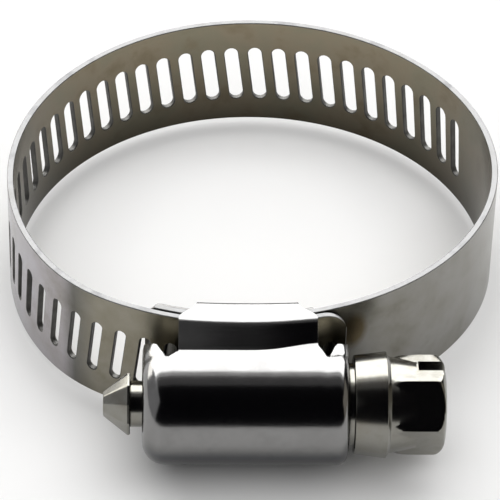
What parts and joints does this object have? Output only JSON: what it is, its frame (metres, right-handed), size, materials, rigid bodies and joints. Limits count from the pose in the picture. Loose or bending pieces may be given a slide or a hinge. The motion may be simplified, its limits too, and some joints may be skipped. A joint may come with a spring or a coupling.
{
  "type": "hose clamp",
  "caption": "Worm-drive hose clamp: a slotted steel band bent into a ring, a housing that holds its overlapped ends, and a hex-head worm screw that draws the band tight.",
  "frame": {"origin": "middle of the bounding box in X and Y, on the lower edge of the housing strap (z = 0)", "axes": "+X along the screw towards its hex head; +Y from the screw to the far side of the ring; +Z across the band's width"},
  "size_m": [0.0492, 0.0582, 0.0144],
  "materials": {
    "band_steel": "rolled, slightly stained",
    "housing_steel": "polished",
    "screw_steel": "turned and plated"
  },
  "bodies": {
    "clamp_root": {"housing": "housing_steel", "saddle": "band_steel", "band_fixed_end": "band_steel"},
    "link_1": {"band_link_1": "band_steel"},
    "link_2": {"band_link_2": "band_steel"},
    "link_3": {"band_link_3": "band_steel"},
    "link_4": {"band_link_4": "band_steel"},
    "link_5": {"band_link_5": "band_steel"},
    "link_6": {"band_link_6": "band_steel"},
    "link_7": {"band_link_7": "band_steel"},
    "link_8": {"band_link_8": "band_steel"},
    "tail": {"band_tail": "band_steel"},
    "screw": {"worm_screw": "screw_steel"}
  },
  "joints": [
    {"name": "screw_spin", "type": "hinge", "parent": "clamp_root", "child": "screw", "pos_m": [-0.00115, -0.02337, 0.0072], "axis": [-1, 0, 0], "range_deg": [0, 990]},
    {"name": "link_1_bend", "type": "hinge", "parent": "clamp_root", "child": "link_1", "pos_m": [0.01313, -0.01376, 0.0072], "axis": [0, 0, 1], "range_deg": [0, 2.14]},
    {"name": "link_2_bend", "type": "hinge", "parent": "link_1", "child": "link_2", "pos_m": [0.0228, -0.00232, 0.0072], "axis": [0, 0, 1], "range_deg": [0, 0.633]},
    {"name": "link_3_bend", "type": "hinge", "parent": "link_2", "child": "link_3", "pos_m": [0.02312, 0.01261, 0.0072], "axis": [0, 0, 1], "range_deg": [0, 0.716]},
    {"name": "link_4_bend", "type": "hinge", "parent": "link_3", "child": "link_4", "pos_m": [0.01408, 0.02455, 0.0072], "axis": [0, 0, 1], "range_deg": [0, 1.98]},
    {"name": "link_5_bend", "type": "hinge", "parent": "link_4", "child": "link_5", "pos_m": [-0.00029, 0.02883, 0.0072], "axis": [0, 0, 1], "range_deg": [0, 2.94]},
    {"name": "link_6_bend", "type": "hinge", "parent": "link_5", "child": "link_6", "pos_m": [-0.01442, 0.02382, 0.0072], "axis": [0, 0, 1], "range_deg": [0, 2.34]},
    {"name": "link_7_bend", "type": "hinge", "parent": "link_6", "child": "link_7", "pos_m": [-0.02306, 0.01155, 0.0072], "axis": [0, 0, 1], "range_deg": [0, 1.05]},
    {"name": "link_8_bend", "type": "hinge", "parent": "link_7", "child": "link_8", "pos_m": [-0.02327, -0.00347, 0.0072], "axis": [0, 0, 1], "range_deg": [0, 0.6]},
    {"name": "tail_bend", "type": "hinge", "parent": "link_8", "child": "tail", "pos_m": [-0.01435, -0.01532, 0.0072], "axis": [0, 0, 1], "range_deg": [0, 2.18]}
  ],
  "couplings": [
    {"joint": "link_1_bend", "follows": "screw_spin", "ratio": 0.0021431},
    {"joint": "link_2_bend", "follows": "screw_spin", "ratio": 0.0006195},
    {"joint": "link_3_bend", "follows": "screw_spin", "ratio": 0.0007032},
    {"joint": "link_4_bend", "follows": "screw_spin", "ratio": 0.0019757},
    {"joint": "link_5_bend", "follows": "screw_spin", "ratio": 0.0029467},
    {"joint": "link_6_bend", "follows": "screw_spin", "ratio": 0.002344},
    {"joint": "link_7_bend", "follows": "screw_spin", "ratio": 0.0010381},
    {"joint": "link_8_bend", "follows": "screw_spin", "ratio": 0.000586},
    {"joint": "tail_bend", "follows": "screw_spin", "ratio": 0.0021853}
  ]
}
